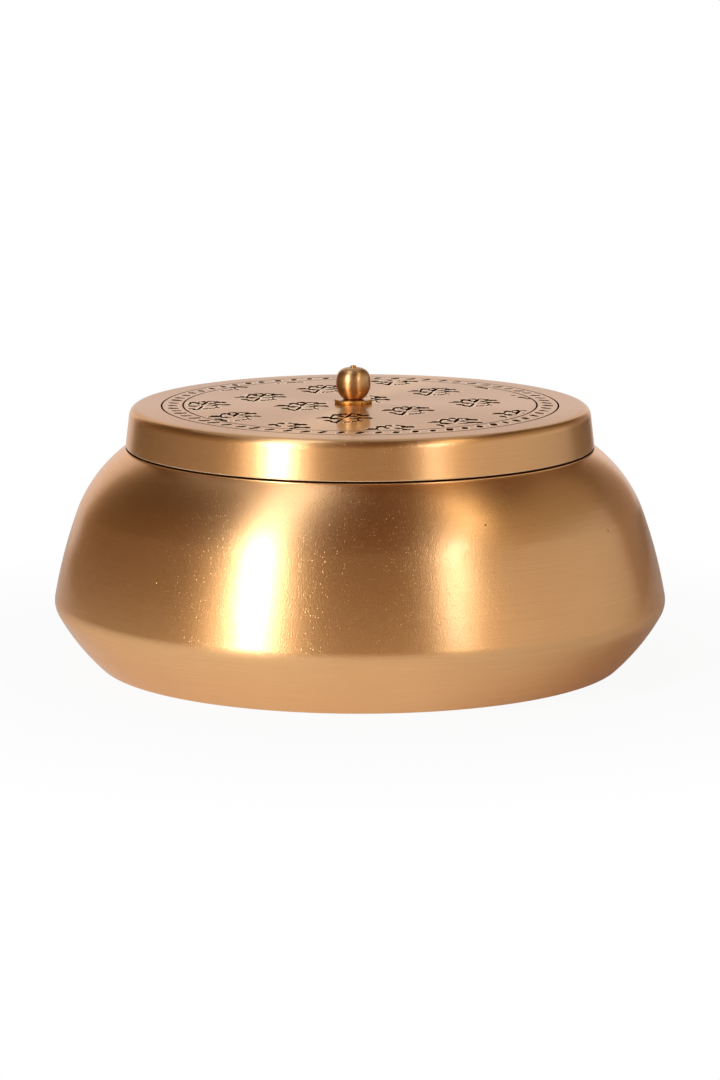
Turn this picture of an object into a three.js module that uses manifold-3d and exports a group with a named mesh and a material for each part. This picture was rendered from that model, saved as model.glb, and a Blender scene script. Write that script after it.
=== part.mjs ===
// A round spun brass sweet box: a wide body with a lift-off lid and a small turned knob.
// Millimetres, Z up, the origin at the middle of the underside.
import * as THREE from 'three';
import { mergeVertices } from 'three/addons/utils/BufferGeometryUtils.js';
import Module from 'manifold-3d';

const wasm = await Module();
wasm.setup();

// Body. A corner is named where its two walls would meet before its bend rounds it off.
const footRadius = 97.8;
const footBend = 2;
const bellyRadius = 114.9;
const bellyHeight = 22.5;
const bellyBend = 9;
const shoulderRadius = 105.2;
const shoulderHeight = 58.8;
const shoulderBend = 33;
const seatHeight = 81.3;
const seatEdgeBend = 0.4;
const rimHeight = 0.6;
const rimBend = 0.5;
const lowerWallSwell = 1.28; // how far each wall bows out between its corners
const upperWallSwell = 0.94;
const shoulderSwell = 1.95;
const bodySheet = 1;

// Belly seam: the bowl's edge steps in and stands up inside the upper shell.
const seamRise = 2; // above the belly corner
const lapHeight = 6;
const lapStep = 1.5;
const solderGap = 0.3;

// Neck collar, which the lid slips over
const neckRadius = 84.3;
const neckHeight = 9; // above the seat

// Lid
const lidSheet = 1;
const lidFit = 0.5; // between the neck and the inside of the skirt's top
const lidGap = 0.4; // under the skirt's edge
const lidHeight = 14.6;
const lidBend = 3.8;
const lidCrown = 0.9;
const lidSwell = lidCrown / 4; // how far the slope up to the flat middle bows out
const landRadius = 12; // the flat middle that the knob stands on
const skirtFlare = 1.75; // how much wider the skirt is at its edge
const skirtEdgeBend = 0.6;
const seatInset = 0.05; // the seat's edge inside the skirt's edge

// Knob, which stands a little off the middle
const knobOffset = -2.5;
const knobRadius = 6.4;
const knobHeight = 12.05;
const knobNeckRadius = 3.75;
const knobNeckHeight = 0.7;
const rosetteRadius = 7.05;
const rosetteHeight = 1.5;
const rosetteBend = 0.4;
const screwRadius = 1.05;
const screwClearance = 0.25;
const screwTip = 0.6;
const screwHeadRadius = 3.2;
const screwHeadHeight = 2;
const screwHeadBend = 0.8;
const backingRadius = 6;
const backingHeight = 0.8;
const cutOverrun = 1;

// Counts and plain ratios
const bodySegments = 60;
const knobSegments = 28;
const screwSegments = 20;
const wallSteps = 3;
const bendSteps = 3;
const knobSteps = 10;
const knobSquareness = 2.5; // the exponent of the knob's outline: 2 would be a ball
const bendLimitShare = 0.45; // the most of an edge that one bend may use

// Places that follow from those sizes
const seamHeight = bellyHeight + seamRise;
const lidTopRadius = neckRadius + lidFit + lidSheet;
const lidEdgeRadius = lidTopRadius + skirtFlare;
const seatRadius = lidEdgeRadius - seatInset;
const mouthRadius = neckRadius + solderGap;
const landHeight = lidHeight + lidCrown;

const point = (r, z) => new THREE.Vector2(r, z);

// Points from a to b on an arc that swells to the right of the way by the given height.
function arcPoints(a, b, swell, steps) {
  if (swell === 0) return [a, b];
  const way = b.clone().sub(a);
  const radius = (way.lengthSq() / 4 + swell * swell) / (2 * swell);
  const outward = point(way.y, -way.x).normalize();
  const centre = a.clone().add(b).divideScalar(2).addScaledVector(outward, swell - radius);
  const turn = 2 * Math.asin(way.length() / (2 * radius));
  const points = [];
  for (let i = 0; i <= steps; i++) {
    points.push(a.clone().rotateAround(centre, (turn * i) / steps));
  }
  return points;
}

// The last part of a run of points is taken off, so that it ends a given length short.
function shortened(run, length) {
  const kept = run.slice();
  let left = length;
  while (kept.length > 2 && kept.at(-1).distanceTo(kept.at(-2)) <= left) {
    left -= kept.at(-1).distanceTo(kept.at(-2));
    kept.pop();
  }
  const end = kept.pop();
  kept.push(end.clone().lerp(kept.at(-1), left / end.distanceTo(kept.at(-1))));
  return kept;
}

// A line through corners, with each wall bowed by its swell and each corner rounded by its bend.
// A corner is { at, bend, swell }, where swell belongs to the wall that follows it.
function outline(corners) {
  const runs = corners.slice(1).map((corner, i) => {
    return arcPoints(corners[i].at, corner.at, corners[i].swell ?? 0, wallSteps);
  });
  const points = [];
  runs.forEach((run, i) => {
    const corner = corners[i + 1];
    const next = runs[i + 1];
    if (!next || !corner.bend) {
      points.push(...run);
      return;
    }
    const before = run.at(-1).clone().sub(run.at(-2));
    const after = next[1].clone().sub(next[0]);
    const half = Math.abs(Math.atan2(before.cross(after), before.dot(after))) / 2;
    const room = bendLimitShare * Math.min(
      corners[i].at.distanceTo(corner.at),
      corner.at.distanceTo(corners[i + 2].at),
    );
    const cut = Math.min(corner.bend * Math.tan(half), room);
    const start = shortened(run, cut);
    runs[i + 1] = shortened(next.slice().reverse(), cut).reverse();
    const bend = new THREE.QuadraticBezierCurve(start.at(-1), corner.at, runs[i + 1][0]);
    points.push(...start.slice(0, -1), ...bend.getPoints(bendSteps));
    runs[i + 1] = runs[i + 1].slice(1);
    runs[i + 1].unshift(points.pop());
  });
  return points.filter((p, i) => i === 0 || !p.equals(points[i - 1]));
}

// The same corners moved in by the thickness of the sheet, to the left of the way.
function inset(corners, depth) {
  const inward = corners.slice(1).map((corner, i) => {
    const way = corner.at.clone().sub(corners[i].at).normalize();
    return point(-way.y, way.x);
  });
  return corners.map((corner, i) => {
    const a = inward[i - 1] ?? inward[i];
    const b = inward[i] ?? inward[i - 1];
    const miter = a.clone().add(b).divideScalar(1 + a.dot(b));
    const convex = a.cross(b) >= 0;
    const bend = (corner.bend ?? 0) + (convex ? -depth : depth);
    return {
      at: corner.at.clone().addScaledVector(miter, depth),
      bend: corner.bend ? Math.max(bend, 0) : 0,
      swell: corner.swell,
    };
  });
}

// The stretch of a rising line between two heights, with its ends on those heights.
function between(points, low, high) {
  const kept = [];
  points.forEach((p, i) => {
    const previous = points[i - 1];
    for (const height of [low, high]) {
      if (previous && (previous.y - height) * (p.y - height) < 0) {
        kept.push(previous.clone().lerp(p, (height - previous.y) / (p.y - previous.y)));
        kept.at(-1).y = height;
      }
    }
    if (p.y >= low && p.y <= high) kept.push(p);
  });
  return kept;
}

// A closed ring of points, or one that begins and ends on the axis, turned round Z.
function spin(points, segments) {
  const loop = points[0].x === 0 ? points : [...points, points[0]];
  return new THREE.LatheGeometry(loop, segments).rotateX(Math.PI / 2);
}

function solidOf(geometry) {
  const bare = geometry.clone();
  bare.deleteAttribute('normal');
  bare.deleteAttribute('uv');
  const merged = mergeVertices(bare);
  const vertProperties = new Float32Array(merged.attributes.position.array);
  const triVerts = new Uint32Array(merged.index.array);
  return new wasm.Manifold(new wasm.Mesh({ numProp: 3, vertProperties, triVerts }));
}

function geometryOf(solid) {
  const mesh = solid.getMesh();
  const geometry = new THREE.BufferGeometry();
  geometry.setAttribute('position', new THREE.BufferAttribute(mesh.vertProperties, 3));
  geometry.setIndex(new THREE.BufferAttribute(mesh.triVerts, 1));
  geometry.computeVertexNormals();
  return geometry;
}

function brassMesh(name, geometry, color, roughness) {
  const material = new THREE.MeshStandardMaterial({ color, roughness, metalness: 1 });
  const mesh = new THREE.Mesh(geometry, material);
  mesh.name = name;
  return mesh;
}

const bodyCorners = [
  { at: point(0, 0) },
  { at: point(footRadius, 0), bend: footBend, swell: lowerWallSwell },
  { at: point(bellyRadius, bellyHeight), bend: bellyBend, swell: upperWallSwell },
  { at: point(shoulderRadius, shoulderHeight), bend: shoulderBend, swell: shoulderSwell },
  { at: point(seatRadius, seatHeight - rimHeight), bend: rimBend },
  { at: point(seatRadius, seatHeight), bend: seatEdgeBend },
  { at: point(mouthRadius, seatHeight) },
];

// The spun base and lower wall, whose edge steps in under the seam and laps the upper shell.
function lowerBowl() {
  const lapTop = seamHeight + lapHeight;
  const lapOuter = outline(inset(bodyCorners, bodySheet + solderGap));
  const lapInner = outline(inset(bodyCorners, 2 * bodySheet + solderGap));
  const inner = outline(inset(bodyCorners, bodySheet));
  return spin([
    ...between(outline(bodyCorners), 0, seamHeight),
    ...between(lapOuter, seamHeight, lapTop),
    ...between(lapInner, seamHeight - lapStep, lapTop).reverse(),
    ...between(inner, bodySheet, seamHeight - 2 * lapStep).reverse(),
  ], bodySegments);
}

// The spun wall and shoulder, from the belly seam up to the rim and the flat seat inside it.
function upperShell() {
  const outer = between(outline(bodyCorners), seamHeight, seatHeight);
  const inner = between(outline(inset(bodyCorners, bodySheet)), seamHeight, seatHeight);
  return spin([...outer, ...inner.reverse()], bodySegments);
}

// A band that stands in the mouth, with a foot turned out under the seat.
function neckCollar() {
  const footTop = seatHeight - bodySheet;
  const footBottom = footTop - bodySheet;
  const footEdge = seatRadius - bodySheet - solderGap;
  const top = seatHeight + neckHeight;
  return spin([
    point(neckRadius - bodySheet, footBottom),
    point(footEdge, footBottom),
    point(footEdge, footTop),
    point(neckRadius, footTop),
    point(neckRadius, top),
    point(neckRadius - bodySheet, top),
  ], bodySegments);
}

const lidCorners = [
  { at: point(lidEdgeRadius - lidSheet, 0) },
  { at: point(lidEdgeRadius, 0), bend: skirtEdgeBend },
  { at: point(lidTopRadius, lidHeight), bend: lidBend, swell: lidSwell },
  { at: point(landRadius, landHeight) },
  { at: point(0, landHeight) },
];

// The lid, a flat-topped cap with a slightly flared skirt, drilled for the knob's screw.
function lidShell() {
  const outer = outline(lidCorners).slice(1);
  const inner = between(outline(inset(lidCorners.slice(1), lidSheet)), 0, landHeight);
  const cap = solidOf(spin([...inner.reverse(), ...outer], bodySegments));
  const holeRadius = screwRadius + screwClearance;
  const drill = new THREE.CylinderGeometry(
    holeRadius,
    holeRadius,
    lidSheet + 2 * cutOverrun,
    screwSegments,
  );
  drill.rotateX(Math.PI / 2).translate(knobOffset, 0, landHeight - lidSheet / 2);
  return geometryOf(cap.subtract(solidOf(drill)));
}

// The rest of the knob is drawn about its own axis, up from the lid's flat middle.
function rosette() {
  const bore = screwRadius + screwClearance;
  return spin([
    point(bore, 0),
    ...outline([
      { at: point(rosetteRadius, 0) },
      { at: point(rosetteRadius, rosetteHeight), bend: rosetteBend },
      { at: point(bore, rosetteHeight) },
    ]),
  ], knobSegments);
}

// A turned ball with square shoulders on a short neck, drilled through.
function knobBall() {
  const bore = screwRadius + screwClearance;
  const half = (knobHeight - knobNeckHeight) / (1 + heightAt(knobNeckRadius));
  const middle = knobHeight - half;
  const low = -Math.asin(Math.min(heightAt(knobNeckRadius), 1));
  const high = Math.asin(Math.min(heightAt(bore), 1));
  const points = [point(bore, 0), point(knobNeckRadius, 0)];
  for (let i = 0; i <= knobSteps; i++) {
    const rise = Math.sin(low + ((high - low) * i) / knobSteps);
    const spread = (1 - Math.abs(rise) ** knobSquareness) ** (1 / knobSquareness);
    points.push(point(knobRadius * spread, middle + half * rise));
  }
  return spin(points, knobSegments);
}

// How high above its middle, as a share of half its height, the ball has the given radius.
function heightAt(radius) {
  return (1 - (radius / knobRadius) ** knobSquareness) ** (1 / knobSquareness);
}

function backingWasher() {
  const bore = screwRadius + screwClearance;
  return spin([
    point(bore, 0),
    point(backingRadius, 0),
    point(backingRadius, backingHeight),
    point(bore, backingHeight),
  ], knobSegments);
}

// The screw from its head inside the lid up to the tip that is peened over the ball.
function knobScrew() {
  const tip = landHeight + rosetteHeight + knobHeight + screwTip;
  const underHead = landHeight - lidSheet - backingHeight;
  return spin(outline([
    { at: point(0, underHead - screwHeadHeight) },
    { at: point(screwHeadRadius, underHead - screwHeadHeight), bend: screwHeadBend },
    { at: point(screwHeadRadius, underHead) },
    { at: point(screwRadius, underHead) },
    { at: point(screwRadius, tip), bend: screwRadius },
    { at: point(0, tip) },
  ]), screwSegments);
}

const body = new THREE.Group();
body.add(
  brassMesh('lower_bowl', lowerBowl(), '#b8824a', 0.32),
  brassMesh('upper_shell', upperShell(), '#b98349', 0.3),
  brassMesh('neck_collar', neckCollar(), '#a8763f', 0.38),
);

const knob = new THREE.Group();
const knobParts = [
  [brassMesh('rosette', rosette(), '#c08a4e', 0.3), landHeight],
  [brassMesh('knob_ball', knobBall(), '#c7914f', 0.22), landHeight + rosetteHeight],
  [brassMesh('backing_washer', backingWasher(), '#ab7a42', 0.4), landHeight - lidSheet - backingHeight],
  [brassMesh('knob_screw', knobScrew(), '#b6894f', 0.35), 0],
];
for (const [mesh, height] of knobParts) {
  mesh.position.z = height;
  knob.add(mesh);
}
knob.position.x = knobOffset;

const lid = new THREE.Group();
lid.add(brassMesh('lid_shell', lidShell(), '#b98449', 0.28), knob);
lid.position.z = seatHeight + lidGap;

const box = new THREE.Group();
box.add(body, lid);

export default box;
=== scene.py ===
import math
import random

import bpy
import numpy as np
from mathutils import Matrix, Vector
from mathutils.geometry import delaunay_2d_cdt


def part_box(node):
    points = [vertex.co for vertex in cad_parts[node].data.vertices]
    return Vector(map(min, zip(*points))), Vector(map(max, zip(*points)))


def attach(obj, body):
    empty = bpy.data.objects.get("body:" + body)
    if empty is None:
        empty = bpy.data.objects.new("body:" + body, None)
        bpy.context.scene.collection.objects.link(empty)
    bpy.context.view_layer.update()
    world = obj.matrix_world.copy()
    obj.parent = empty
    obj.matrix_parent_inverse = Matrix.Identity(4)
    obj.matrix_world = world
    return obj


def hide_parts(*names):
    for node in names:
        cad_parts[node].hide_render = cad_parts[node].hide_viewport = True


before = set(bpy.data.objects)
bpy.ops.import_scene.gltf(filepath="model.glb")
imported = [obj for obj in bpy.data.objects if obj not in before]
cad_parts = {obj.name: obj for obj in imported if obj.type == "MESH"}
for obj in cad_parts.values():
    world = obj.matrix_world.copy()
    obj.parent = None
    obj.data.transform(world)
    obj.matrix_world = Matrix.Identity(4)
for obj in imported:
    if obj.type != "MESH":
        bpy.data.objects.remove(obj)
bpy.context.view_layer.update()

mm = 0.001
touching = 1e-6    # mm; two points nearer than this are one
scene = bpy.context.scene
scene.view_settings.view_transform = "Standard"


# Small helpers

def linear(hexColour):
    # sRGB hex to the linear colour that a shader takes
    parts = [int(hexColour[i:i + 2], 16) / 255 for i in (1, 3, 5)]
    return [c / 12.92 if c <= 0.04045 else ((c + 0.055) / 1.055) ** 2.4 for c in parts] + [1]


def addNode(tree, kind, inputs=(), **settings):
    # A node with its settings and its inputs, by name or in order. Each input is a value, or
    # the socket to link from, or a node whose first output is meant
    node = tree.nodes.new("ShaderNode" + kind)
    for name, value in settings.items():
        setattr(node, name, value)
    for name, value in inputs.items() if isinstance(inputs, dict) else enumerate(inputs):
        if isinstance(value, bpy.types.Node):
            value = value.outputs[0]
        if isinstance(value, bpy.types.NodeSocket):
            tree.links.new(value, node.inputs[name])
        else:
            node.inputs[name].default_value = value
    return node


def emptyMaterial(name):
    material = bpy.data.materials.new(name)
    material.use_nodes = True
    material.node_tree.nodes.clear()
    return material, material.node_tree


# Camera, from the ellipses of the lid and the whole silhouette in the photo

cameraShape = {
    "distance": 1585.1,    # mm from the box's axis
    "height": 330.5,       # mm above the surface that it stands on
    "pitch": 10.204,       # degrees down from level
    "lens": 143.0,         # mm, on a sensor of the width below, along the picture's long side
    "sensor": 36,
    "reach": 40,           # metres; the camera sees no further
}


def makeCamera(shape):
    data = bpy.data.cameras.new("camera")
    data.lens = shape["lens"]
    data.sensor_width = shape["sensor"]
    data.clip_end = shape["reach"]
    camera = bpy.data.objects.new("camera", data)
    camera.location = (0, -shape["distance"] * mm, shape["height"] * mm)
    camera.rotation_euler = (math.radians(90 - shape["pitch"]), 0, 0)
    scene.collection.objects.link(camera)
    scene.camera = camera
    print("camera placed")


makeCamera(cameraShape)


# Outlines of spun pieces: points (radius, height, and the outward normal's two parts), in mm

def arcPoints(a, b, swell, steps):
    # A wall from a to b that swells by that much at its middle, to the right of the way
    if swell == 0:
        return np.array([a, b], float)
    a, b = np.array(a, float), np.array(b, float)
    way = b - a
    length = np.hypot(*way)
    radius = (length ** 2 / 4 + swell ** 2) / (2 * swell)
    outward = np.array([way[1], -way[0]]) / length
    centre = (a + b) / 2 + outward * (swell - radius)
    turn = 2 * math.asin(length / (2 * radius))
    angles = np.linspace(0, turn, steps + 1)
    spoke = a - centre
    turned = [[spoke[0] * math.cos(t) - spoke[1] * math.sin(t),
               spoke[0] * math.sin(t) + spoke[1] * math.cos(t)] for t in angles]
    return centre + np.array(turned)


def shortened(run, length):
    # The run with that length taken off its end
    steps = np.hypot(*np.diff(run, axis=0).T)
    along = np.concatenate([[0], np.cumsum(steps)])
    end = along[-1] - length
    last = [np.interp(end, along, run[:, 0]), np.interp(end, along, run[:, 1])]
    return np.vstack([run[along < end - 1e-9], last])


def withNormals(points):
    # The normal points to the right of the way along the points
    way = np.gradient(points, axis=0)
    way /= np.hypot(*way.T)[:, None]
    return np.column_stack([points, way[:, 1], -way[:, 0]])


def outline(corners, wallSteps=24, bendSteps=14, bendShare=0.45):
    # Corners are (radius, height, bend, swell of the wall that follows). A bend of 0 is a sharp
    # edge, and any other takes at most bendShare of the wall on each side
    at = [np.array(c[:2], float) for c in corners]
    runs = [arcPoints(at[i], at[i + 1], corners[i][3], wallSteps) for i in range(len(at) - 1)]
    smooth, stretches = [], []
    for i, run in enumerate(runs):
        if i + 1 == len(runs) or corners[i + 1][2] == 0:
            smooth.append(run)
            joined = np.vstack(smooth)
            keep = np.concatenate([[True], np.hypot(*np.diff(joined, axis=0).T) > 1e-7])
            stretches.append(withNormals(joined[keep]))
            smooth = []
            continue
        following = runs[i + 1]
        before, after = run[-1] - run[-2], following[1] - following[0]
        turn = abs(math.atan2(before[0] * after[1] - before[1] * after[0], before @ after))
        room = bendShare * min(np.hypot(*(at[i + 1] - at[i])), np.hypot(*(at[i + 2] - at[i + 1])))
        cut = min(corners[i + 1][2] * math.tan(turn / 2), room)
        start = shortened(run, cut)
        runs[i + 1] = shortened(following[::-1], cut)[::-1]
        t = np.linspace(0, 1, bendSteps + 1)[:, None]
        a, b, c = start[-1], at[i + 1], runs[i + 1][0]
        bend = (1 - t) ** 2 * a + 2 * t * (1 - t) * b + t ** 2 * c
        smooth += [start, bend]
    return np.vstack(stretches)


def inset(corners, depth):
    # The same corners moved in by the thickness of the sheet, to the left of the way
    at = [np.array(c[:2], float) for c in corners]
    inward = []
    for a, b in zip(at, at[1:]):
        way = (b - a) / np.hypot(*(b - a))
        inward.append(np.array([-way[1], way[0]]))
    moved = []
    for i, corner in enumerate(corners):
        a = inward[max(i - 1, 0)]
        b = inward[min(i, len(inward) - 1)]
        place = at[i] + (a + b) / (1 + a @ b) * depth
        convex = a[0] * b[1] - a[1] * b[0] >= 0
        bend = max(corner[2] + (-depth if convex else depth), 0) if corner[2] else 0
        moved.append((place[0], place[1], bend, corner[3]))
    return moved


def between(points, low, high):
    # The stretch of a rising outline between two heights, with ends on those heights
    kept = []
    for i, p in enumerate(points):
        for height in (low, high):
            if i and (points[i - 1][1] - height) * (p[1] - height) < 0:
                share = (height - points[i - 1][1]) / (p[1] - points[i - 1][1])
                kept.append(points[i - 1] + (p - points[i - 1]) * share)
        if low <= p[1] <= high:
            kept.append(p)
    return np.array(kept)


def inside(points):
    # The far side of a sheet: the run backwards, with its normals turned round
    return points[::-1] * np.array([1, 1, -1, -1])


def flat(a, b):
    # A straight run between two points, with its own normals
    return withNormals(np.array([a, b], float))


def meshPiece(name, vertices, faces, normals, along, materials, faceMaterials=None):
    # along is the way along the outline to each vertex, and the brass's lines lie across it
    mesh = bpy.data.meshes.new(name)
    mesh.from_pydata(vertices, [], faces)
    attribute = mesh.attributes.new("spunLength", "FLOAT", "POINT")
    attribute.data.foreach_set("value", along)
    for material in materials:
        mesh.materials.append(material)
    if faceMaterials is not None:
        mesh.polygons.foreach_set("material_index", faceMaterials)
    mesh.polygons.foreach_set("use_smooth", [True] * len(faces))
    mesh.normals_split_custom_set(normals)
    mesh.update()
    piece = bpy.data.objects.new(name, mesh)
    scene.collection.objects.link(piece)
    return piece


def spinParts(profile, segments, offset=(0, 0)):
    # Rings of vertices round the axis, faces with a normal for each corner, and for each face
    # the number of its step along the profile
    vertices, faces, normals, along, steps = [], [], [], [], []
    turns = [2 * math.pi * k / segments for k in range(segments)]
    rings, travelled, previous = [], 0, None
    for r, z, nr, nz in profile:
        if previous is not None:
            travelled += math.hypot(r - previous[0], z - previous[1])
        if previous is not None and math.hypot(r - previous[0], z - previous[1]) < touching:
            rings.append(rings[-1])
        elif rings and math.hypot(r - profile[0][0], z - profile[0][1]) < touching:
            rings.append(rings[0])
        else:
            first = len(vertices)
            count = 1 if r < touching else segments
            for turn in turns[:count]:
                vertices.append(((r * math.cos(turn) + offset[0]) * mm,
                                 (r * math.sin(turn) + offset[1]) * mm, z * mm))
                along.append(travelled)
            rings.append((first, count))
        previous = (r, z)
    for i in range(len(rings) - 1):
        if rings[i] == rings[i + 1]:
            continue
        (a, countA), (b, countB) = rings[i], rings[i + 1]
        low, high = profile[i][2:], profile[i + 1][2:]
        for k in range(segments):
            here, there = turns[k], turns[(k + 1) % segments]
            corners = [(a, countA, k, low, here), (a, countA, k + 1, low, there),
                       (b, countB, k + 1, high, there), (b, countB, k, high, here)]
            if countA == 1:
                corners.pop(0)
            elif countB == 1:
                corners.pop(2)
            faces.append([first + (index % count if count > 1 else 0)
                          for first, count, index, _, _ in corners])
            steps.append(i)
            for _, _, _, (nr, nz), turn in corners:
                normals.append((nr * math.cos(turn), nr * math.sin(turn), nz))
    return vertices, faces, normals, along, steps


def chosenBy(pick, profile, steps):
    # A material's number for each face, from the middle (radius, height) of its step
    middles = (profile[:-1, :2] + profile[1:, :2]) / 2
    return [pick(*middles[i]) for i in steps]


def spin(name, profile, segments, materials, offset=(0, 0), pick=None):
    vertices, faces, normals, along, steps = spinParts(profile, segments, offset)
    numbers = chosenBy(pick, profile, steps) if pick else None
    return meshPiece(name, vertices, faces, normals, along, materials, numbers)


# Brass

# A MapRange node's inputs in order are the value, the two ends that it runs between, and the two
# results; a MixRGB node's are the share and two colours

def dots(tree, place, spacing, share, width, level=0.4):
    # Round dots: that share of Voronoi's cells hold one, chosen by the cell's own colour. The
    # middle of a dot is level, up to that part of its width
    cells = addNode(tree, "TexVoronoi", {"Vector": place, "Scale": 1 / spacing})
    cellColour = addNode(tree, "SeparateColor", [cells.outputs["Color"]])
    chosen = addNode(tree, "Math", [cellColour, 1 - share], operation="GREATER_THAN")
    edge = width / 2 / spacing
    dot = addNode(tree, "MapRange", [cells.outputs["Distance"], edge, edge * level])
    return addNode(tree, "Math", [dot, chosen], operation="MULTIPLY")


def brassMaterial(name, look):
    # Spun and brushed brass under clear lacquer: fine rings round the axis stretch each
    # reflection up and down, a faint orange peel and raised specks make its edges grainy, pits
    # and scratches break it here and there, and the tint is a little warmer in slow patches
    material, tree = emptyMaterial(name)
    place = addNode(tree, "TexCoord").outputs["Object"]
    millimetres = addNode(tree, "VectorMath", {0: place, "Scale": 1 / mm}, operation="SCALE")
    sideways = addNode(tree, "VectorMath", [millimetres, (1, 1, 0)], operation="MULTIPLY")
    direction = addNode(tree, "VectorMath", [sideways], operation="NORMALIZE")
    around = addNode(tree, "VectorMath", {0: direction, "Scale": look["ringLength"]},
                     operation="SCALE")
    spun = addNode(tree, "Attribute", attribute_name="spunLength").outputs["Fac"]
    across = addNode(tree, "Math", [spun, 1 / look["brushSpacing"]], operation="MULTIPLY")
    lift = addNode(tree, "CombineXYZ", {"Z": across})
    ringPlace = addNode(tree, "VectorMath", [around, lift], operation="ADD")

    # Brush lines are really about 0.05 mm apart and are drawn wider, so that they show
    brush = addNode(tree, "TexNoise", {"Vector": ringPlace, "Scale": 1, "Detail": 3,
                                       "Roughness": 0.7})
    peel = addNode(tree, "TexNoise", {"Vector": millimetres, "Scale": 1 / look["peelSize"],
                                      "Detail": 1.5, "Roughness": 0.5})
    cloud = addNode(tree, "TexNoise", {"Vector": millimetres, "Scale": 1 / look["cloudSize"],
                                       "Detail": 3, "Roughness": 0.55})
    pit = dots(tree, millimetres, look["pitSpacing"], look["pitShare"], look["pitWidth"])
    # Specks stand up a little, and each throws one bright point beside a highlight
    speck = dots(tree, millimetres, look["speckSpacing"], look["speckShare"], look["speckWidth"])
    # Scratches are the peaks of a noise that is drawn out long and thin
    slant = addNode(tree, "Mapping", {"Vector": millimetres, "Rotation": look["scratchTurn"],
                                      "Scale": [1 / size for size in look["scratchSize"]]})
    scratches = addNode(tree, "TexNoise", {"Vector": slant, "Scale": 1, "Detail": 0})
    scratch = addNode(tree, "MapRange", [scratches, *look["scratchPeak"]])

    tint = addNode(tree, "MixRGB", [cloud, linear(look["base"]), linear(look["warm"])])
    lined = addNode(tree, "MapRange", [brush, *look["linePart"], 0, look["lineTint"]])
    darker = addNode(tree, "MixRGB", [lined, tint, linear(look["line"])])
    pitted = addNode(tree, "MixRGB", [pit, darker, linear(look["pitColour"])])
    rough = addNode(tree, "MapRange", [brush, *look["roughPart"],
                                       look["roughness"] - look["roughSpread"],
                                       look["roughness"] + look["roughSpread"]])

    # Each layer of relief lies over the one before; pits and scratches go down
    relief = {}
    for height, depth, down in [(brush, "brushDepth", False), (peel, "peelDepth", False),
                                (pit, "pitDepth", True), (speck, "speckHeight", False),
                                (scratch, "scratchDepth", True)]:
        bump = addNode(tree, "Bump", {"Height": height, "Distance": look[depth] * mm, **relief},
                       invert=down)
        relief = {"Normal": bump}
    tangent = addNode(tree, "Tangent", direction_type="RADIAL", axis="Z")
    shader = addNode(tree, "BsdfPrincipled", {
        "Base Color": pitted, "Metallic": 1, "Roughness": rough,
        "Anisotropic": look["anisotropy"], "Anisotropic Rotation": 0.25,
        "Specular Tint": linear(look["edgeTint"]), "Tangent": tangent,
        "Coat Weight": look["lacquer"], "Coat Roughness": look["lacquerRoughness"], **relief})
    addNode(tree, "OutputMaterial", {"Surface": shader})
    return material


bodyLook = {
    "base": "#f0bc84", "warm": "#ebb278", "line": "#d39c60", "lineTint": 0.3,
    "edgeTint": "#f2dccb",
    "lacquer": 0.28, "lacquerRoughness": 0.12,   # its own pale reflection, seen towards the edges
    "roughness": 0.325, "roughSpread": 0.02, "anisotropy": 0.7,
    # the part of the brush noise over which its lines darken the tint, and the roughness grows
    "linePart": (0.35, 0.7), "roughPart": (0.3, 0.7),
    # spacings, sizes, widths, depths and heights are in mm
    "brushSpacing": 0.34, "brushDepth": 0.015, "ringLength": 3,   # more makes the lines shorter
    "peelSize": 0.5, "peelDepth": 0.042, "cloudSize": 34,
    "pitSpacing": 9, "pitShare": 0.12, "pitWidth": 0.9, "pitDepth": 0.1, "pitColour": "#5d3a1c",
    "speckSpacing": 0.85, "speckShare": 0.4, "speckWidth": 0.45, "speckHeight": 0.028,
    "scratchTurn": (0.5, 0.9, 0.4), "scratchSize": (14, 0.5, 9), "scratchPeak": (0.86, 0.92),
    "scratchDepth": 0.0005,
}
satinBrass = brassMaterial("satin_lacquered_spun_brass", bodyLook)

# The top is buffed flat: finer lines and a smoother sheen
topLook = dict(bodyLook, brushSpacing=0.35, peelDepth=0.003, brushDepth=0.0015, pitShare=0.08,
               roughness=0.3, anisotropy=0.84, edgeTint="#c9a98c", lacquer=0.55, speckShare=0.05)
topBrass = brassMaterial("satin_lacquered_lid_brass", topLook)

# The lid's edge and the metal pushed up beside its cuts are rubbed in use, and their pale, bright
# base colour is also a painted highlight: the bright lips along the edge and the cuts
burrHighlightLook = dict(topLook, base="#fbdcb4", warm="#f6cfa2", line="#efc596", edgeTint="#f4dcc4",
                roughness=0.26, anisotropy=0.2, pitShare=0)
burrHighlightBrass = brassMaterial("burnished_brass_painted_highlight", burrHighlightLook)

# The knob is turned and polished: coarser lines and a patchy, warm shine
knobLook = dict(bodyLook, base="#e9be8a", warm="#bd8c5a", roughness=0.36, anisotropy=0.4,
                brushSpacing=0.5, brushDepth=0.02, ringLength=2, peelDepth=0.03, cloudSize=4,
                pitSpacing=3, pitWidth=0.5, pitShare=0.15)
knobBrass = brassMaterial("turned_polished_brass", knobLook)

# The washer is left as cast: dull and pitted, with no lines to stretch a reflection
washerLook = dict(knobLook, base="#dfab58", warm="#bd883c", roughness=0.42, anisotropy=0,
                  peelSize=0.7, peelDepth=0.12, pitSpacing=1.1, pitWidth=0.9, pitShare=0.6,
                  pitColour="#3a2210", lacquer=0.1)
washerBrass = brassMaterial("rough_cast_brass", washerLook)

# Inner fittings are formed and left: a little browner and uneven
fittingLook = dict(bodyLook, base="#d9a566", warm="#cf9854", roughness=0.34, roughSpread=0.06,
                   anisotropy=0.4, pitShare=0.25, cloudSize=12)
fittingBrass = brassMaterial("plain_formed_brass", fittingLook)


oxideAndShadeLook = {"dark": "#190902", "pale": "#4a260b", "roughness": 0.8,
             "grainScale": 1.2, "grainDepth": 0.03}    # grains to a mm, and mm


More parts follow.
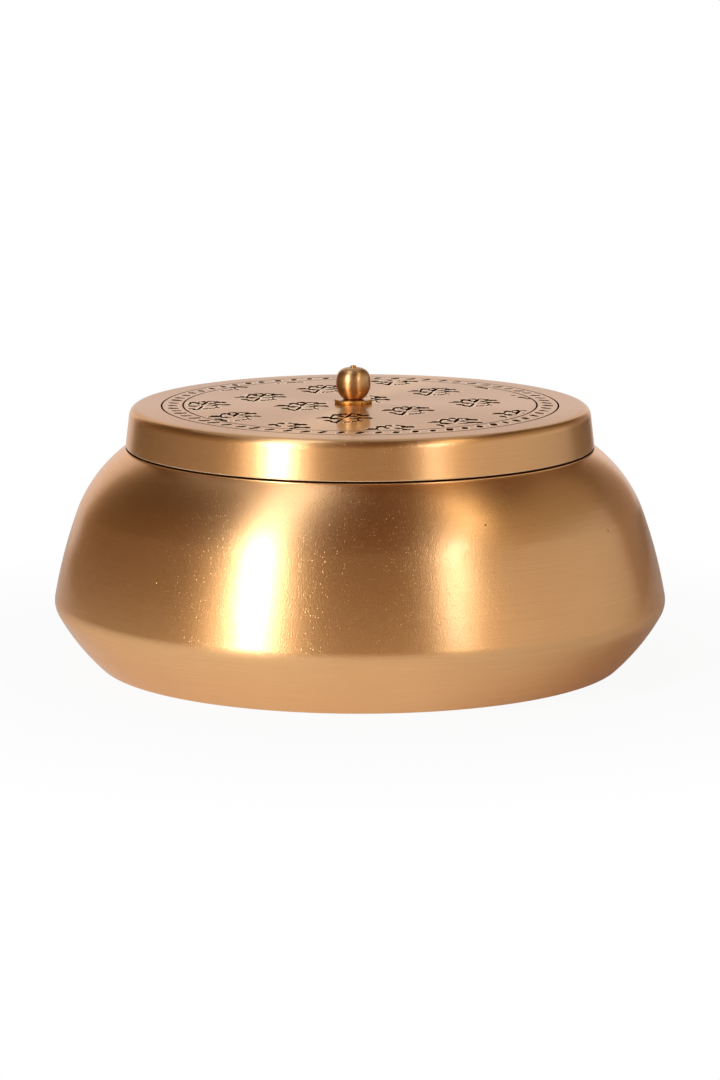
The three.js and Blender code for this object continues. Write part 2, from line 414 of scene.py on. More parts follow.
def oxideAndShadeMaterial(look):
    # Cut lines where the lacquer doesn't reach and the brass has oxidised: dull dark brown. The
    # same dark brown is also painted shade on the seat under the lid and under the knob's ball
    material, tree = emptyMaterial("oxidised_cut_brass_and_painted_shade")
    place = addNode(tree, "TexCoord").outputs["Object"]
    millimetres = addNode(tree, "VectorMath", {0: place, "Scale": 1 / mm}, operation="SCALE")
    grain = addNode(tree, "TexNoise", {"Vector": millimetres, "Scale": look["grainScale"],
                                       "Detail": 4, "Roughness": 0.7})
    colour = addNode(tree, "MixRGB", [grain, linear(look["dark"]), linear(look["pale"])])
    bump = addNode(tree, "Bump", {"Height": grain, "Distance": look["grainDepth"] * mm})
    shader = addNode(tree, "BsdfPrincipled", {
        "Base Color": colour, "Roughness": look["roughness"], "Specular IOR Level": 0,
        "Normal": bump})
    addNode(tree, "OutputMaterial", {"Surface": shader})
    return material


cutOxideAndShade = oxideAndShadeMaterial(oxideAndShadeLook)
print("brass materials made")


# Body: two spun shells that meet at the belly, and the collar that the lid slips over

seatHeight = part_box("upper_shell")[1].z / mm
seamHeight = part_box("upper_shell")[0].z / mm
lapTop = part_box("lower_bowl")[1].z / mm

bodyShape = {
    "sheet": 1.0, "solderGap": 0.3, "lapStep": 1.5, "seatRadius": 87.5, "seatBend": 0.4,
    # seatShadeDepth: how far down from the seat's top, in mm, the painted shade reaches
    "seatShadeDepth": 0.3, "rimHeight": 0.6, "rimBend": 0.5, "segments": 256,
    # radius, height, bend and the swell of the wall above it
    "foot": (97.8, 0, 2, 1.28),
    "belly": (114.9, 22.5, 9, 0.94),
    "shoulder": (105.2, 58.8, 33, 1.95),
    # the collar's wall, and the bends at its inner corner, its flange, the corner above the
    # flange and its lip
    "neckRadius": 84.3, "heelBend": 0.8, "flangeBend": 0.3, "wallBend": 0.4, "lipBend": 0.45,
}


def bodyCorners(shape):
    return [
        (0, 0, 0, 0), shape["foot"], shape["belly"], shape["shoulder"],
        (shape["seatRadius"], seatHeight - shape["rimHeight"], shape["rimBend"], 0),
        (shape["seatRadius"], seatHeight, shape["seatBend"], 0),
        (shape["neckRadius"] + shape["solderGap"], seatHeight, 0, 0),
    ]


def makeBody(shape):
    corners = bodyCorners(shape)
    sheet, gap, step = shape["sheet"], shape["solderGap"], shape["lapStep"]
    segments = shape["segments"]
    past = 1.0    # mm beyond an outline's end, so that all of it is kept
    outer = outline(corners)
    inner = outline(inset(corners, sheet))
    lapOuter = between(outline(inset(corners, sheet + gap)), seamHeight, lapTop)
    lapInner = between(outline(inset(corners, 2 * sheet + gap)), seamHeight - step, lapTop)
    below = between(outer, -past, seamHeight)
    floorInside = between(inner, -past, seamHeight - 2 * step)
    bowl = np.vstack([
        below,
        flat(below[-1][:2], lapOuter[0][:2]), lapOuter,
        flat(lapOuter[-1][:2], lapInner[-1][:2]), inside(lapInner),
        flat(lapInner[0][:2], floorInside[-1][:2]), inside(floorInside),
    ])
    lowerBowl = spin("lower_bowl_spun", bowl, segments, [satinBrass])
    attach(lowerBowl, "box")
    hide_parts("lower_bowl")

    above = between(outer, seamHeight, seatHeight + past)
    under = between(inner, seamHeight, seatHeight + past)
    shell = np.vstack([above, flat(above[-1][:2], under[-1][:2]), inside(under),
                       flat(under[0][:2], above[0][:2])])

    def finishAt(radius, height):
        # The seat under the lid takes the dark brown of the cuts: painted shade in the joint under
        # the lid
        return int(height > seatHeight - shape["seatShadeDepth"])

    upperShell = spin("upper_shell_spun", shell, segments, [satinBrass, cutOxideAndShade], pick=finishAt)
    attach(upperShell, "box")
    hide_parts("upper_shell")

    low, high = (corner.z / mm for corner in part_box("neck_collar"))
    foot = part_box("neck_collar")[1].x / mm
    neck, lip, flange = shape["neckRadius"], shape["lipBend"], shape["flangeBend"]
    collar = outline([
        (neck - sheet, low + sheet * 2, 0, 0), (neck - sheet, low, shape["heelBend"], 0),
        (foot, low, flange, 0), (foot, low + sheet, flange, 0),
        (neck, low + sheet, shape["wallBend"], 0), (neck, high, lip, 0),
        (neck - sheet, high, lip, 0), (neck - sheet, low + sheet * 2, 0, 0),
    ], bendSteps=6)
    neckCollar = spin("neck_collar_formed", collar, segments, [fittingBrass])
    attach(neckCollar, "box")
    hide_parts("neck_collar")
    print("body made")


makeBody(bodyShape)


# Engraving on the lid: strokes are (list of points, list of half widths, depth), in mm

engraving = {
    "seed": 7,
    "ringRadii": (74.0, 66.0), "ringHalfWidth": 0.34, "ringDepth": 0.26, "ringSegments": 240,
    "bars": 66, "barInner": 67.8, "barOuter": 71.9, "barHalfWidth": 1.3, "barDepth": 0.36,
    "barBluntness": 0.4,
    "barSlant": 1.1,            # how far a bar's two ends are shifted round, in mm
    # how the bars differ: turned round, longer or shorter, and times the slant and the width
    "barTurns": 0.006, "barEnds": 0.3, "barSlants": (0.7, 1.3), "barWidths": (0.85, 1.1),
    "sprigDepth": 0.42, "sprigLimit": 65.4, "knobClear": 8.2,
    "flatBold": 2.2, "steepBold": 0.8,   # a cut is wider the more it runs from side to side
    # how the sprigs differ, and how the cuts in them do: shifted in x and y, times the width,
    # and bowed by a share of the length
    "sprigLeans": 0.04, "sprigSizes": (0.97, 1.03), "cutShifts": (0.15, 0.25),
    "cutWidths": (0.88, 1.12), "cutBows": 0.05,
    # metal pushed up beside each cut: how far out its crest and its foot are, its height, and
    # the share of that above which it takes the pale brass of a painted highlight, as well as
    # rubbed wear
    "burrCrest": 0.25, "burrFoot": 0.8, "burrHeight": 0.05, "burrHighlightShare": 0.5,
    "leastShare": 0.02, "leastBurr": 1e-4,   # a cut or burr that is fainter isn't there
    # middles of the sprigs, in rows that climb to the right; the outer ones are cut off at the ring
    "sprigPlaces": [
        (-52.5, 44.5), (-28.5, 65), (-37.5, 16), (-14.5, 37.5), (13, 59.5), (-58.5, -3.5),
        (-21.5, -8), (1.5, 8.5), (28, 30.5), (51, 50.5), (-46, -32), (-5.5, -37), (17.5, -19),
        (43, 2), (66.5, 23), (-28, -58), (11, -63), (34.5, -46.5), (58, -25.5),
    ],
    # one sprig: each cut's two ends and half width, about its middle
    "sprigCuts": {
        "stem": [(-2.5, -13.2, -0.2, -0.8, 0.62), (-0.5, -1.6, 1.9, 10.2, 0.8),
                 (1.7, 9.7, 3.5, 8.3, 0.6)],
        "leftTip": [(-9.9, -0.8, -7.6, -0.2, 0.45), (-8.5, 0.4, -5.4, 1.0, 0.95)],
        "leftLeafTop": [(-5.6, 0.4, -4.2, 6.2, 0.5), (-4.8, 5.9, -2.2, 6.9, 0.85),
                        (-2.6, 8.1, -1.7, 4.8, 0.5), (-2.1, 4.7, -0.6, 2.4, 0.75),
                        (-1.4, 9.2, 0.4, 8.2, 0.75)],
        "leftLeafVein": [(-5.3, 0.2, -4.0, -1.8, 0.45), (-4.5, -1.7, -2.7, -2.4, 0.85),
                         (-2.8, -2.2, -1.1, -2.0, 0.4)],
        "leftLeafUnder": [(-7.0, -5.0, -4.8, -7.4, 0.85), (-5.1, -7.2, -4.2, -9.6, 0.5),
                          (-4.4, -7.8, -3.0, -10.4, 0.8), (-3.4, -9.8, -2.5, -12.1, 0.5)],
        "rightLeafTop": [(1.5, 3.8, 2.7, 2.6, 0.4), (2.4, 2.6, 4.3, 3.9, 0.7),
                         (3.7, 8.7, 5.1, 7.5, 0.65), (4.7, 6.7, 6.4, 5.6, 0.9),
                         (6.3, 6.7, 8.2, 5.8, 0.75)],
        "rightLeafVein": [(1.2, -1.5, 2.7, -2.2, 0.4), (3.1, -2.4, 4.8, -0.5, 0.7),
                          (4.6, -0.5, 6.7, 1.2, 0.95)],
        "rightTip": [(7.1, 0.5, 9.6, -0.4, 0.75)],
        "comb": [(0.1, -11.0, 1.0, -7.6, 0.5), (1.4, -10.5, 2.3, -7.1, 0.5),
                 (2.6, -10.0, 3.5, -6.6, 0.5), (3.8, -9.3, 4.7, -6.2, 0.5),
                 (4.6, -2.8, 5.1, -6.4, 0.45), (4.9, -5.6, 6.4, -7.6, 0.5)],
    },
}


def stroke(a, b, halfWidth, depth, bow=0.0, bluntness=0.6, steps=4):
    # A chisel cut from a to b: a leaf that bows to the left of its way
    a, b = np.array(a, float), np.array(b, float)
    way = b - a
    side = np.array([-way[1], way[0]])
    t = np.linspace(0, 1, steps + 1)[:, None]
    points = a + way * t + side * bow * 4 * t * (1 - t)
    widths = halfWidth * np.sin(np.pi * t[:, 0]) ** bluntness
    widths[0] = widths[-1] = 0
    return points, widths, depth


def cutStrokes(shape):
    draw = random.Random(shape["seed"])

    def either(most):
        # A random number up to that, on either side of zero
        return draw.uniform(-most, most)

    strokes = []
    for k in range(shape["bars"]):
        turn = 2 * math.pi * (k + 0.5) / shape["bars"] + either(shape["barTurns"])
        outward = np.array([math.cos(turn), math.sin(turn)])
        sideways = np.array([-outward[1], outward[0]])
        shift = sideways * shape["barSlant"] * draw.uniform(*shape["barSlants"])
        inner = outward * (shape["barInner"] + either(shape["barEnds"])) + shift
        outer = outward * (shape["barOuter"] + either(shape["barEnds"])) - shift
        width = shape["barHalfWidth"] * draw.uniform(*shape["barWidths"])
        strokes.append(stroke(inner, outer, width, shape["barDepth"],
                              bluntness=shape["barBluntness"]))
    for place in shape["sprigPlaces"]:
        lean, size = either(shape["sprigLeans"]), draw.uniform(*shape["sprigSizes"])
        turn = np.array([[math.cos(lean), -math.sin(lean)], [math.sin(lean), math.cos(lean)]])
        for cuts in shape["sprigCuts"].values():
            for x0, y0, x1, y1, halfWidth in cuts:
                shift = np.array([either(most) for most in shape["cutShifts"]])
                ends = np.array([(x0, y0), (x1, y1)]) @ turn.T * size + shift + place
                flatness = abs(x1 - x0) / math.hypot(x1 - x0, y1 - y0)
                bold = shape["steepBold"] + (shape["flatBold"] - shape["steepBold"]) * flatness
                width = halfWidth * bold * draw.uniform(*shape["cutWidths"])
                cut = stroke(*ends, width, shape["sprigDepth"], either(shape["cutBows"]))
                fromAxis = np.hypot(*cut[0].T).max()
                fromKnob = np.hypot(cut[0][:, 0] - knobX, cut[0][:, 1]).min()
                if fromAxis < shape["sprigLimit"] and fromKnob > shape["knobClear"]:
                    strokes.append(cut)
    return strokes


# Lid: the engraved top is triangulated round its cuts, and the rest is spun

knobX = (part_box("rosette")[0].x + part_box("rosette")[1].x) / 2 / mm
lidLow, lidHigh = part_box("lid_shell")[0].z / mm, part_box("lid_shell")[1].z / mm

lidShape = {
    "sheet": 1.0, "edgeRadius": 87.55, "topRadius": 85.8, "bend": 3.8, "crown": 0.9,
    "land": 12.0, "edgeBend": 0.6, "engravedTo": 78.0, "segments": 288,
    "skirt": 5.0,      # nothing lower than this above the lid's edge is part of the top
    "holeRadius": 1.3, "holeSegments": 24,
    # the lip band along the lower edge takes the pale burr brass, a painted highlight
    "lipHeight": 0.5, "lipDepth": 0.9, "topFrom": 0.9,   # where each finish starts, from the edges
    # rings of plain points keep the triangles between the cuts even: their radii, and how many
    # points to a mm of radius and at least
    "fillRings": (6, 12, 20, 30, 40, 50, 60, 70, 76), "fillCount": 1.2, "fillLeast": 16,
}

# The lid's materials, and the number of each in that order
lidFinishes = [topBrass, cutOxideAndShade, burrHighlightBrass, satinBrass]
topFinish, cutFinish, burrHighlightFinish, skirtFinish = range(4)


def cutHeights(points, strokes, shape):
    # How far each point lies from the plain top: down in a V under the middle line of each
    # cut, and a little up on the metal pushed out beside it
    depths, burrs = np.zeros(len(points)), np.zeros(len(points))
    crest, foot = shape["burrCrest"], shape["burrFoot"]
    for line, widths, depth in strokes:
        widest = widths.max()
        low, high = line.min(0) - widest - foot, line.max(0) + widest + foot
        near = np.where(((points > low) & (points < high)).all(1))[0]
        for a, b, wa, wb in zip(line, line[1:], widths, widths[1:]):
            way = b - a
            t = np.clip(((points[near] - a) @ way) / (way @ way), 0, 1)
            away = np.hypot(*(points[near] - a - t[:, None] * way).T)
            width = wa + (wb - wa) * t
            share = np.clip(1 - away / np.maximum(width, 1e-9), 0, 1)
            share = np.where(share < shape["leastShare"], 0, share)
            depths[near] = np.maximum(depths[near], share * depth * np.sqrt(width / widest))
            burr = np.interp(away - width, [0, crest, foot], [0, shape["burrHeight"], 0])
            burr = np.where(burr < shape["leastBurr"], 0, burr)
            burrs[near] = np.maximum(burrs[near], burr)
    return np.where(depths > 0, -depths, burrs)


def strokeEdges(strokes, shape):
    # The middle line and outline of each cut and the crest and foot of its burr, as points
    # and the edges between them
    points, edges = [], []

    def chain(places, closed):
        first = len(points)
        points.extend(places)
        numbers = list(range(first, len(points)))
        edges.extend(zip(numbers, numbers[1:] + numbers[:1] if closed else numbers[1:]))

    for line, widths, _ in strokes:
        way = np.gradient(line, axis=0)
        way /= np.hypot(*way.T)[:, None]
        side = np.column_stack([-way[:, 1], way[:, 0]])
        chain(line[1:-1], False)
        for out in (0, shape["burrCrest"], shape["burrFoot"]):
            reach = side * (widths + out)[:, None]
            left, right = line + reach, (line - reach)[::-1]
            ends = [line[0] - way[0] * out], [line[-1] + way[-1] * out]
            inner = slice(1, -1) if out == 0 else slice(None)
            chain([*ends[0], *left[inner], *ends[1], *right[inner]], True)
    return points, edges


def circle(radius, count, middle=0, shift=0):
    # Points round a circle, and the edges that close it
    turns = [2 * math.pi * (k + shift) / count for k in range(count)]
    return ([(middle + radius * math.cos(t), radius * math.sin(t)) for t in turns],
            [(k, (k + 1) % count) for k in range(count)])


def ringHeights(points, shape):
    away = np.hypot(*points.T)
    depths = np.zeros(len(points))
    for radius in shape["ringRadii"]:
        share = np.clip(1 - np.abs(away - radius) / shape["ringHalfWidth"], 0, 1)
        share = np.where(share < shape["leastShare"], 0, share)
        depths = np.maximum(depths, share * shape["ringDepth"])
    return -depths


def discWithCuts(shape, cuts, strokes):
    # Triangles over the engraved disc, without the screw's hole: points, faces
    parts = [circle(shape["engravedTo"], shape["segments"]),
             circle(shape["holeRadius"], shape["holeSegments"], knobX)]
    if cuts:
        parts.append(strokeEdges(strokes, cuts))
        for radius in cuts["ringRadii"]:
            parts += [circle(radius + side * cuts["ringHalfWidth"], cuts["ringSegments"])
                      for side in (-1, 0, 1)]
    points, edges = [], []
    for morePoints, moreEdges in parts:
        start = len(points)
        points += [tuple(p) for p in morePoints]
        edges += [(a + start, b + start) for a, b in moreEdges]
    for radius in shape["fillRings"]:
        count = max(shape["fillLeast"], int(radius * shape["fillCount"]))
        points += circle(radius, count, shift=0.5)[0]
    found = delaunay_2d_cdt([Vector(p) for p in points], edges, [], 0, touching)
    at = np.array([tuple(p) for p in found[0]])
    faces = [list(f) for f in found[2]]
    middles = np.array([at[f].mean(0) for f in faces])
    # The hole's own triangles have their middles well within its edge
    inHole = np.hypot(middles[:, 0] - knobX, middles[:, 1]) <= shape["holeRadius"] * 0.98
    return at, [f for f, dropped in zip(faces, inHole) if not dropped]


def makeLid(shape, cuts):
    strokes = cutStrokes(cuts)
    corners = [
        (shape["edgeRadius"] - shape["sheet"], lidLow, 0, 0),
        (shape["edgeRadius"], lidLow, shape["edgeBend"], 0),
        (shape["topRadius"], lidHigh - shape["crown"], shape["bend"], shape["crown"] / 4),
        (shape["land"], lidHigh, 0, 0),
        (0, lidHigh, 0, 0),
    ]
    outer = outline(corners)[2:]
    inner = between(outline(inset(corners[1:], shape["sheet"])), lidLow, lidHigh)
    splitAt = shape["engravedTo"]

    def outside(points):
        # The stretch of an outline from the skirt's edge in to the engraved disc's rim
        kept = [p for p in points if p[0] > splitAt + touching or p[1] < lidLow + shape["skirt"]]
        after = points[len(kept)]
        share = (splitAt - kept[-1][0]) / (after[0] - kept[-1][0])
        return np.vstack([kept, kept[-1] + (after - kept[-1]) * share])

    rim = outside(outer)
    underRim = outside(inner)
    profile = np.vstack([inside(underRim), flat(underRim[0][:2], rim[0][:2]), rim])
    vertices, faces, normals, along, steps = spinParts(profile, shape["segments"])

    def finishAt(radius, height):
        # The edge takes the pale burr brass, rubbed in use and a painted highlight along the lid's
        # lower edge; the skirt is as the body, and the top has finer lines
        atLip = radius > shape["edgeRadius"] - shape["lipDepth"]
        if atLip and height < lidLow + shape["lipHeight"]:
            return burrHighlightFinish
        onSkirt = height < lidHigh - shape["crown"] - shape["topFrom"]
        return skirtFinish if onSkirt else topFinish

    faceMaterials = chosenBy(finishAt, profile, steps)

    topLine, underLine = outer[::-1], inner[::-1]
    length = np.concatenate([[0], np.cumsum(np.hypot(*np.diff(topLine[:, :2], axis=0).T))])

    def addDisc(points, triangles, line, lifts, upward):
        away = np.hypot(*points.T)
        heights = np.interp(away, line[:, 0], line[:, 1]) + lifts
        slopes = np.interp(away, line[:, 0], line[:, 2] / line[:, 3])
        start = len(vertices)
        for (x, y), z, r in zip(points, heights, away):
            vertices.append((x * mm, y * mm, z * mm))
            along.append(float(np.interp(r, topLine[:, 0], length)))
        place = np.column_stack([points, heights])
        corners = np.array(triangles)
        crosses = np.cross(place[corners[:, 1]] - place[corners[:, 0]],
                           place[corners[:, 2]] - place[corners[:, 0]])
        turned = crosses[:, 2] < 0
        corners[turned] = corners[turned][:, ::-1]
        crosses[turned] *= -1
        middles = points[corners].mean(1)
        levels = cutHeights(middles, strokes, cuts) if upward else np.zeros(len(corners))
        inCut = (levels < 0) | (ringHeights(middles, cuts) < 0) & upward
        # Burrs that stand high enough take the pale brass: a painted highlight on the lips beside
        # the cuts, as well as rubbed wear
        rubbedAndHighlighted = levels > cuts["burrHeight"] * cuts["burrHighlightShare"]
        finish = np.where(inCut, cutFinish, np.where(rubbedAndHighlighted, burrHighlightFinish, topFinish))

        # Plain metal takes the crown's own normal, and the burrs a smooth one from their faces
        smooth = np.column_stack([points / np.maximum(away, 1e-9)[:, None] * slopes[:, None],
                                  np.ones(len(points))])
        summed = np.zeros_like(place)
        for k in range(3):
            np.add.at(summed, corners[~inCut][:, k], crosses[~inCut])
        raised = (lifts > 0) & (summed[:, 2] > 0)
        smooth[raised] = summed[raised]
        smooth /= np.linalg.norm(smooth, axis=1)[:, None]
        plain = crosses / np.linalg.norm(crosses, axis=1)[:, None]
        for corner, number, normal in zip(corners, finish, plain):
            order = corner if upward else corner[::-1]
            faces.append([start + int(i) for i in order])
            faceMaterials.append(int(number))
            for i in order:
                at = normal if number == cutFinish else smooth[i]
                normals.append(tuple(at if upward else -at))
        return start

    points, triangles = discWithCuts(shape, cuts, strokes)
    lifts, rings = cutHeights(points, strokes, cuts), ringHeights(points, cuts)
    lifts = np.where(rings < 0, np.minimum(lifts, rings), lifts)
    lifts[np.hypot(*points.T) > splitAt - 1e-3] = 0    # where the spun part takes over
    topStart = addDisc(points, triangles, topLine, lifts, True)
    plain, plainTriangles = discWithCuts(shape, None, [])
    underStart = addDisc(plain, plainTriangles, underLine, np.zeros(len(plain)), False)

    # The wall of the screw's hole
    hole, first = shape["holeSegments"], shape["segments"]
    for k in range(hole):
        here, there = first + k, first + (k + 1) % hole
        faces.append([topStart + here, topStart + there, underStart + there, underStart + here])
        faceMaterials.append(topFinish)
        for turn in (k, k + 1, k + 1, k):
            angle = 2 * math.pi * turn / hole
            normals.append((-math.cos(angle), -math.sin(angle), 0))

    lid = meshPiece("lid_engraved", vertices, faces, normals, along, lidFinishes, faceMaterials)
    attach(lid, "lid")
    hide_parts("lid_shell")
    print("lid made:", len(strokes), "cuts,", len(faces), "faces")


makeLid(lidShape, engraving)


# Knob: a turned ball on a rough washer, held by a screw whose tip is peened over it

knobShape = {
    "radius": 6.43, "upperHeight": 6.25, "lowerHeight": 6.8, "edgeRadius": 3.85,
    "neckRadius": 3.0, "neckHeight": 0.12,  # a narrow neck leaves a dark line under the ball, and painted shade darkens it
    "upperSquareness": 2.8, "lowerSquareness": 2.0, "bore": 1.3,
    "ballTop": 0.995, "ballSteps": 40,      # the ball ends at that share of its upper height
    # the rosette's edge: its tuck under, its rounded side and its shoulder, and where the
    # rubbed face starts under the top
    "tuck": 0.15, "tuckBend": 0.2, "side": 0.5, "sideBend": 0.5, "shoulder": 0.3,
    "shoulderBend": 0.35, "rubbedFrom": 0.05,
    "backingRadius": 6.0, "backingBends": (0.25, 0.15),
    "tipRadius": 1.05, "headRadius": 3.2, "headHeight": 2.0, "headBends": (0.9, 0.1),
    "segments": 96, "screwSegments": 48,
}


def makeKnob(shape):
    low, high = (c.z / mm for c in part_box("knob_ball"))
    neck, power = shape["neckRadius"], shape["lowerSquareness"]
    share = (1 - (shape["edgeRadius"] / shape["radius"]) ** power) ** (1 / power)
    middle = high - shape["upperHeight"]
    stem = flat((neck, low), (neck, low + shape["neckHeight"]))
    points = []
    for t in np.linspace(-math.asin(share), math.asin(shape["ballTop"]), shape["ballSteps"]):
        rise = math.sin(t)
        power = shape["upperSquareness"] if rise > 0 else shape["lowerSquareness"]
        height = shape["upperHeight"] if rise > 0 else shape["lowerHeight"]
        spread = (1 - abs(rise) ** power) ** (1 / power)
        points.append((shape["radius"] * spread, middle + height * rise))
    ball = withNormals(np.array(points, float))
    bore = shape["bore"]
    under = flat(stem[-1][:2], points[0])
    top = points[-1][1]
    line = np.vstack([flat((bore, low), (neck, low)), stem, under, ball,
                      flat(points[-1], (bore, top)), flat((bore, top), (bore, low))])
    underTop = points[0][1]
    # The ball's neck and underside take the dark brown of the cuts: painted shade under the ball
    knobBall = spin("knob_turned", line, shape["segments"], [knobBrass, cutOxideAndShade], (knobX, 0),
                    lambda radius, height: int(height < underTop))
    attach(knobBall, "lid")
    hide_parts("knob_ball")

    low, high = (c.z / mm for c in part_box("rosette"))
    edge = (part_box("rosette")[1].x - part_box("rosette")[0].x) / 2 / mm
    faceFrom = high - shape["rubbedFrom"]
    ring = outline([(bore, low, 0, 0), (edge - shape["tuck"], low, shape["tuckBend"], 0),
                    (edge, high - shape["side"], shape["sideBend"], 0),
                    (edge - shape["shoulder"], high, shape["shoulderBend"], 0),
                    (bore, high, 0, 0), (bore, low, 0, 0)], bendSteps=6)
    rosette = spin("rosette_cast", ring, shape["segments"], [washerBrass, topBrass], (knobX, 0),
                   lambda radius, height: int(height > faceFrom))
    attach(rosette, "lid")
    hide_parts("rosette")

    low, high = (c.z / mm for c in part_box("backing_washer"))
    edge, (lowBend, highBend) = shape["backingRadius"], shape["backingBends"]
    ring = outline([(bore, low, 0, 0), (edge, low, lowBend, 0), (edge, high, highBend, 0),
                    (bore, high, 0, 0), (bore, low, 0, 0)], bendSteps=6)
    backing = spin("backing_washer_stamped", ring, shape["segments"], [fittingBrass], (knobX, 0))
    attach(backing, "lid")
    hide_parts("backing_washer")

    low, high = (c.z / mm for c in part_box("knob_screw"))
    head, tip, headTop = shape["headRadius"], shape["tipRadius"], low + shape["headHeight"]
    lowBend, highBend = shape["headBends"]
    line = outline([(0, low, 0, 0), (head, low, lowBend, 0), (head, headTop, highBend, 0),
                    (tip, headTop, 0, 0), (tip, high, tip, 0), (0, high, 0, 0)], bendSteps=10)
    screw = spin("knob_screw_peened", line, shape["screwSegments"], [fittingBrass], (knobX, 0))
    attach(screw, "lid")
    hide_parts("knob_screw")
    print("knob made")


makeKnob(knobShape)


# Studio: white paper on a dark floor, a white screen behind, on each side a tall strip light
# that leans over the box, and panels to the right and behind; the room is dim and warm

studio = {
    "paper": "#e2e7ec", "floor": "#5a4c40",
    "floorSize": 16.0, "paperEdge": (0.8, 0.62),   # metres; the paper ends between the two
    # how much of the paper's white is its own, as the camera sees it near the box, and between
    # which distances that grows to all of it
    "paperSeen": 0.93, "seenEdge": (0.13, 0.26),
    "paperMirrored": 0.4,      # the same in reflections, where the box's shadow shows more
    # the key's pool of light on the paper, in reflections: its middle, the distances of its edge
    # and its centre from there, and how bright the paper is at each
    "poolMiddle": (-31, 0, 0.15), "poolEdge": (0.45, 0), "poolLight": (0.42, 1.66),
    # the box's shadow to the right, in reflections: its middle, how dark, and its softness
    "shadeTurn": 95, "shade": 0.92, "shadeEdge": (0.1, 0.9),
    # the paper runs on behind the box, up to the screen: from where, how wide and how bright
    "sweepStart": (0.35, 0.6), "sweepEdge": (0.85, 0.9), "sweep": 0.9,
    # the room's light falls off upwards and to the back, and its colour turns to the ceiling's;
    # the pairs say between which heights, or depths, of a direction one metre long
    "room": "#ffd4a8", "ceiling": "#ffa862", "roomLow": 0.36, "roomHigh": 0.12, "roomBack": 0.5,
    "roomRise": (0.05, 0.75), "roomDepth": (-0.6, 0.5), "ceilingRise": (0.4, 0.85),
    "horizon": 0.26, "horizonTop": 0.2,    # more light low down, and how high up it fades out
    "screen": 1.0, "screenTurn": -174, "screenRise": 12, "screenEdge": (0.88, 0.93),
    "strobe": "#eaf5ff", "bounced": "#fff1cd",  # lamps straight from the strobe, or off warm walls
    "aim": (0, 0, 0.06),
    # start and end of each lamp's long side: azimuth from the camera (left is negative),
    # elevation and distance, then its width in metres, its radiance and its light
    "lamps": {
        "key_strip": ((-37.8, 6, 1.1), (-44, 43, 1.45), 0.165, 18, "strobe"),
        "key_glow": ((-39, 4, 1.2), (-43, 24, 1.3), 0.8, 1.1, "bounced"),
        "key_strip_top": ((-42, 45, 1.5), (-130, 77, 1.55), 0.32, 2.8, "strobe"),
        "slim_strip": ((33.6, 9, 1.1), (36.8, 27, 1.25), 0.165, 3.9, "strobe"),
        "slim_strip_middle": ((36.5, 27, 1.25), (46, 41, 1.45), 0.135, 9, "strobe"),
        "slim_glow": ((40, 4, 1.2), (44, 22, 1.3), 0.42, 0.7, "bounced"),
        "slim_strip_top": ((56, 43, 1.5), (80, 68, 1.55), 0.22, 2.9, "bounced"),
        "back_panel_right": ((148, 0, 1.4), (148, 22, 1.4), 0.9, 0.16, "strobe"),
        "back_panel_top": ((-168, 48, 1.4), (-168, 80, 1.3), 1.2, 0.6, "strobe"),
        "side_panel": ((88, 0, 1.1), (88, 27, 1.2), 1.6, 0.56, "strobe"),
        "side_panel_top": ((97, 29, 1.25), (97, 50, 1.5), 1.6, 0.24, "bounced"),
    },
}


def spot(azimuth, elevation, distance):
    # A place seen from the middle of the box's underside, turned from the camera's side
    turn, rise = math.radians(azimuth), math.radians(elevation)
    return Vector((math.sin(turn) * math.cos(rise), -math.cos(turn) * math.cos(rise),
                   math.sin(rise))) * distance


def addLamp(name, start, end, width, radiance, aim, colour):
    # A flat lamp whose long side runs from start to end and that faces the box
    long = end - start
    upward = long.normalized()
    middle = (start + end) / 2
    away = middle - aim
    away = (away - upward * away.dot(upward)).normalized()
    side = upward.cross(away)
    data = bpy.data.lights.new(name, "AREA")
    data.shape = "RECTANGLE"
    data.size, data.size_y = width, long.length
    data.energy = radiance * math.pi * width * long.length
    data.color = linear(colour)[:3]
    lamp = bpy.data.objects.new(name, data)
    lamp.matrix_world = Matrix((side, upward, away)).transposed().to_4x4()
    lamp.location = middle
    lamp.visible_camera = False
    scene.collection.objects.link(lamp)


